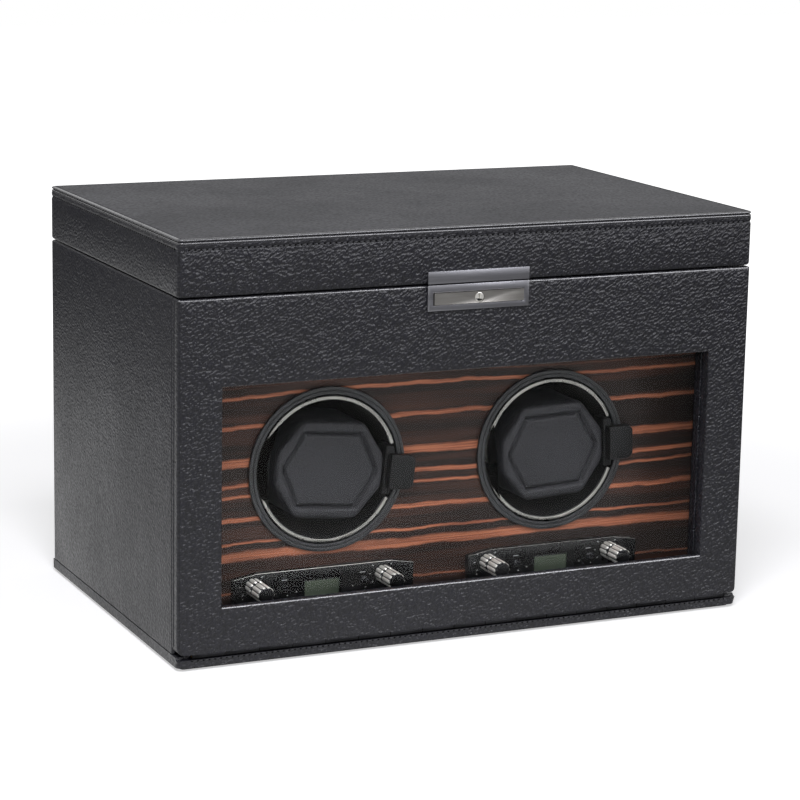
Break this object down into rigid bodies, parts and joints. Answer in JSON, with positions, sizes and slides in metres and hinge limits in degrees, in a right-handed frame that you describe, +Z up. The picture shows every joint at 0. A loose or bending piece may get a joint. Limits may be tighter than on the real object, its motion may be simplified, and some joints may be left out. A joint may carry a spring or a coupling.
{
  "type": "watch winder box",
  "caption": "Leather-covered cabinet that winds watches on turning drums behind a glazed drop-front door, with a storage tray under a hinged lid.",
  "frame": {"origin": "middle of the footprint, on the surface the box stands on", "axes": "+X to the right as seen from the front, -Y out of the front with its window and lock, +Z up"},
  "size_m": [0.336, 0.2144, 0.226],
  "materials": {
    "leather": "black pebble-grained leather with a soft sheen",
    "lining": "dark grey microsuede",
    "felt": "black felt",
    "cuff_leather": "black pebble-grained leather, stitched",
    "ebony": "macassar ebony veneer, satin lacquer",
    "glass": "clear flat glass",
    "lock_steel": "brushed nickel",
    "chrome": "polished chrome",
    "steel": "plain steel",
    "hinge_brass": "lacquered brass",
    "hinge_black": "black lacquer",
    "bronze": "sintered bronze",
    "satin_black": "satin black moulding",
    "drum_black": "black flocked moulding",
    "gloss_black": "gloss black acrylic",
    "button_black": "gloss black button",
    "display_grey": "grey-green reflective display",
    "pulley_white": "natural acetal",
    "belt_rubber": "black rubber",
    "board_green": "green solder resist"
  },
  "bodies": {
    "cabinet": {"base_pad": "felt", "base_panel": "leather", "left_side": "leather", "right_side": "leather", "back_panel": "leather", "deck": "lining", "tray_rail": "lining", "storage_tray": "lining", "watch_pillows": "lining", "fascia": "ebony", "dc_jack": "satin_black", "circuit_board": "board_green", "hinge_pins": "hinge_brass", "lid_hinge_base_leaves": "hinge_brass", "door_hinge_base_leaf": "hinge_black", "left_housing": "satin_black", "right_housing": "satin_black", "left_bezel": "satin_black", "right_bezel": "satin_black", "bearings": "bronze", "motors": "steel", "belts": "belt_rubber", "displays": "display_grey", "left_control_panel": "gloss_black", "right_control_panel": "gloss_black"},
    "lid": {"lid_frame": "leather", "lid_top": "leather", "lid_liner": "lining", "keeper_plate": "lock_steel", "lid_hinge_lid_leaves": "hinge_brass"},
    "door": {"door_panel": "leather", "door_glass": "glass", "glass_retainer": "leather", "lock_plate": "lock_steel", "door_hinge_door_leaf": "hinge_black"},
    "push_bar": {"push_bar": "lock_steel"},
    "key": {"key_cylinder": "lock_steel", "lock_cam": "steel"},
    "left_drum": {"left_drum": "drum_black", "left_drum_ring": "chrome", "left_drum_pulley": "pulley_white", "left_cuff_frame": "satin_black", "left_cuff_pad": "cuff_leather"},
    "left_motor_pulley": {"left_motor_pulley": "hinge_brass"},
    "left_lock_tab": {"left_lock_tab": "satin_black"},
    "left_mode_dial": {"left_mode_dial": "chrome"},
    "left_turns_dial": {"left_turns_dial": "chrome"},
    "left_set_button": {"left_set_button": "button_black"},
    "left_start_button": {"left_start_button": "button_black"},
    "right_drum": {"right_drum": "drum_black", "right_drum_ring": "chrome", "right_drum_pulley": "pulley_white", "right_cuff_frame": "satin_black", "right_cuff_pad": "cuff_leather"},
    "right_motor_pulley": {"right_motor_pulley": "hinge_brass"},
    "right_lock_tab": {"right_lock_tab": "satin_black"},
    "right_mode_dial": {"right_mode_dial": "chrome"},
    "right_turns_dial": {"right_turns_dial": "chrome"},
    "right_set_button": {"right_set_button": "button_black"},
    "right_start_button": {"right_start_button": "button_black"}
  },
  "joints": [
    {"name": "lid_hinge", "type": "hinge", "parent": "cabinet", "child": "lid", "pos_m": [0, 0.105, 0.1956], "axis": [-1, 0, 0], "range_deg": [0, 95]},
    {"name": "door_hinge", "type": "hinge", "parent": "cabinet", "child": "door", "pos_m": [0, -0.1035, 0.0074], "axis": [1, 0, 0], "range_deg": [0, 90]},
    {"name": "bar_press", "type": "slide", "parent": "door", "child": "push_bar", "axis": [0, 1, 0], "range_m": [0, 0.0015], "stiffness_N_per_m": 500, "springref_m": -0.001},
    {"name": "key_turn", "type": "hinge", "parent": "door", "child": "key", "pos_m": [0, -0.1, 0.1879], "axis": [0, -1, 0], "range_deg": [0, 90]},
    {"name": "left_drum_spin", "type": "hinge", "parent": "cabinet", "child": "left_drum", "pos_m": [-0.0677, 0, 0.0905], "axis": [0, 1, 0], "continuous": true},
    {"name": "left_motor_spin", "type": "hinge", "parent": "cabinet", "child": "left_motor_pulley", "pos_m": [-0.0677, 0, 0.0585], "axis": [0, 1, 0], "continuous": true},
    {"name": "left_tab_slide", "type": "slide", "parent": "left_drum", "child": "left_lock_tab", "axis": [-0.9954, 0, 0.0958], "range_m": [0, 0.002], "stiffness_N_per_m": 300, "springref_m": -0.001},
    {"name": "left_mode_turn", "type": "hinge", "parent": "cabinet", "child": "left_mode_dial", "pos_m": [-0.1118, -0.0777, 0.0305], "axis": [0, 1, 0], "range_deg": [-60, 60]},
    {"name": "left_turns_turn", "type": "hinge", "parent": "cabinet", "child": "left_turns_dial", "pos_m": [-0.0358, -0.0777, 0.0305], "axis": [0, 1, 0], "range_deg": [-135, 135]},
    {"name": "left_set_press", "type": "slide", "parent": "cabinet", "child": "left_set_button", "axis": [0, 1, 0], "range_m": [0, 0.0008], "stiffness_N_per_m": 300, "springref_m": -0.0005},
    {"name": "left_start_press", "type": "slide", "parent": "cabinet", "child": "left_start_button", "axis": [0, 1, 0], "range_m": [0, 0.0008], "stiffness_N_per_m": 300, "springref_m": -0.0005},
    {"name": "right_drum_spin", "type": "hinge", "parent": "cabinet", "child": "right_drum", "pos_m": [0.0677, 0, 0.0905], "axis": [0, 1, 0], "continuous": true},
    {"name": "right_motor_spin", "type": "hinge", "parent": "cabinet", "child": "right_motor_pulley", "pos_m": [0.0677, 0, 0.0585], "axis": [0, 1, 0], "continuous": true},
    {"name": "right_tab_slide", "type": "slide", "parent": "right_drum", "child": "right_lock_tab", "axis": [-0.999, 0, -0.0436], "range_m": [0, 0.002], "stiffness_N_per_m": 300, "springref_m": -0.001},
    {"name": "right_mode_turn", "type": "hinge", "parent": "cabinet", "child": "right_mode_dial", "pos_m": [0.0278, -0.0777, 0.0305], "axis": [0, 1, 0], "range_deg": [-60, 60]},
    {"name": "right_turns_turn", "type": "hinge", "parent": "cabinet", "child": "right_turns_dial", "pos_m": [0.1038, -0.0777, 0.0305], "axis": [0, 1, 0], "range_deg": [-135, 135]},
    {"name": "right_set_press", "type": "slide", "parent": "cabinet", "child": "right_set_button", "axis": [0, 1, 0], "range_m": [0, 0.0008], "stiffness_N_per_m": 300, "springref_m": -0.0005},
    {"name": "right_start_press", "type": "slide", "parent": "cabinet", "child": "right_start_button", "axis": [0, 1, 0], "range_m": [0, 0.0008], "stiffness_N_per_m": 300, "springref_m": -0.0005}
  ],
  "couplings": [
    {"joint": "left_motor_spin", "follows": "left_drum_spin", "ratio": 3},
    {"joint": "right_motor_spin", "follows": "right_drum_spin", "ratio": 3}
  ]
}
